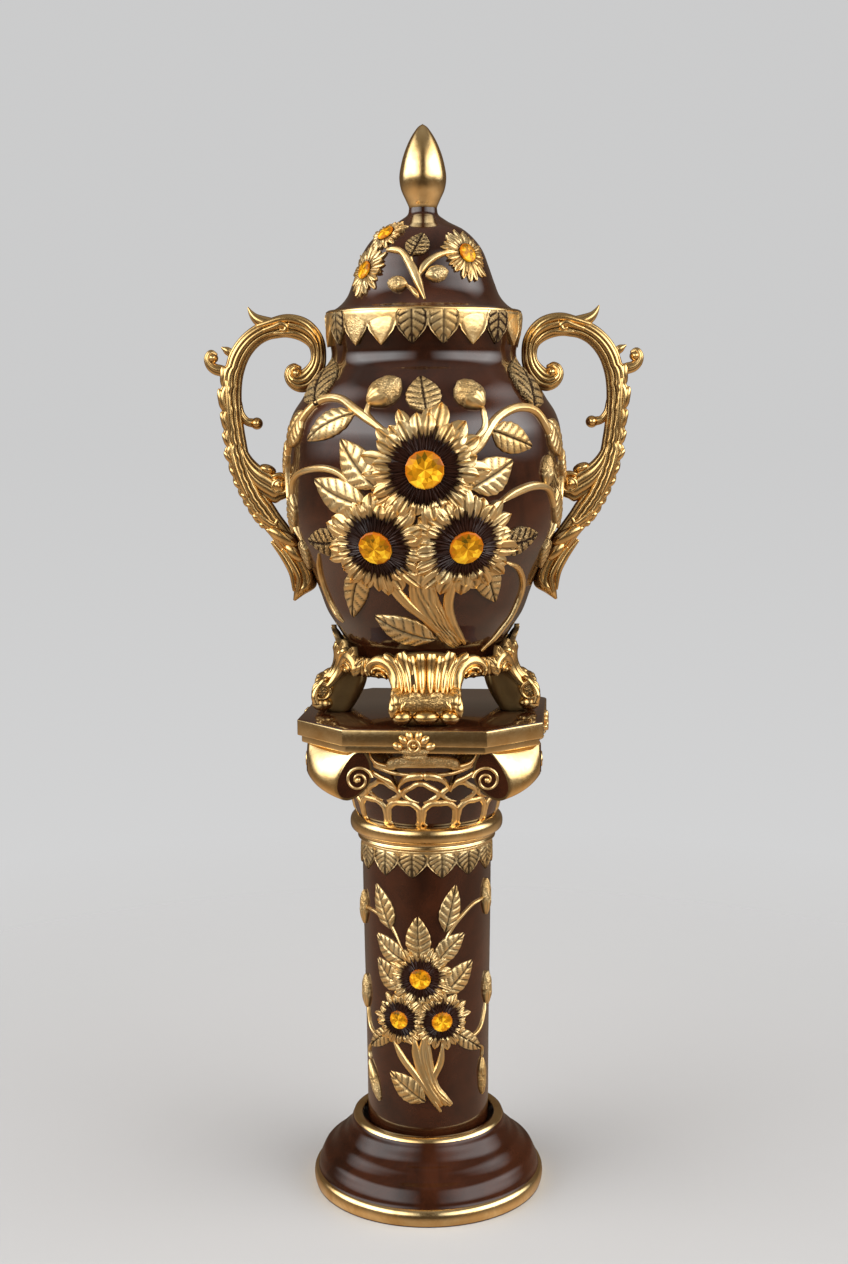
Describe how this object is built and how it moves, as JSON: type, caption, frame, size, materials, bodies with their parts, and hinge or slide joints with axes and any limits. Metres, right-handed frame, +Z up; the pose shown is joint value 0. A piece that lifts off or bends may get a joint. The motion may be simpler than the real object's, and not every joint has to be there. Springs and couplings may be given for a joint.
{
  "type": "footed tureen",
  "caption": "Covered urn with gold scroll handles and jewelled flower relief, in a gold footed stand on a column with a scrolled capital and a stepped round base.",
  "frame": {"origin": "centre of the underside of the round base", "axes": "+Z up along the axis of the column and the urn, +Y towards the back, -Y towards the flowered front, +X to the right handle"},
  "size_m": [0.4446, 0.2971, 1.1],
  "materials": {
    "brown_glaze": "dark brown high-gloss glaze",
    "gold_glaze": "gold lustre over a glaze",
    "gold_metal": "cast and gilded, bright",
    "amber_glass": "cut and polished"
  },
  "bodies": {
    "root": {"lid": "brown_glaze", "urn_body": "brown_glaze", "handle_left": "gold_metal", "handle_right": "gold_metal", "foot_stand": "gold_metal", "capital": "gold_glaze", "shaft": "brown_glaze", "pedestal_base": "brown_glaze", "jewel_urn_1": "amber_glass", "jewel_urn_2": "amber_glass", "jewel_urn_3": "amber_glass", "jewel_lid_1": "amber_glass", "jewel_lid_2": "amber_glass", "jewel_lid_3": "amber_glass", "jewel_shaft_1": "amber_glass", "jewel_shaft_2": "amber_glass", "jewel_shaft_3": "amber_glass"}
  },
  "joints": []
}
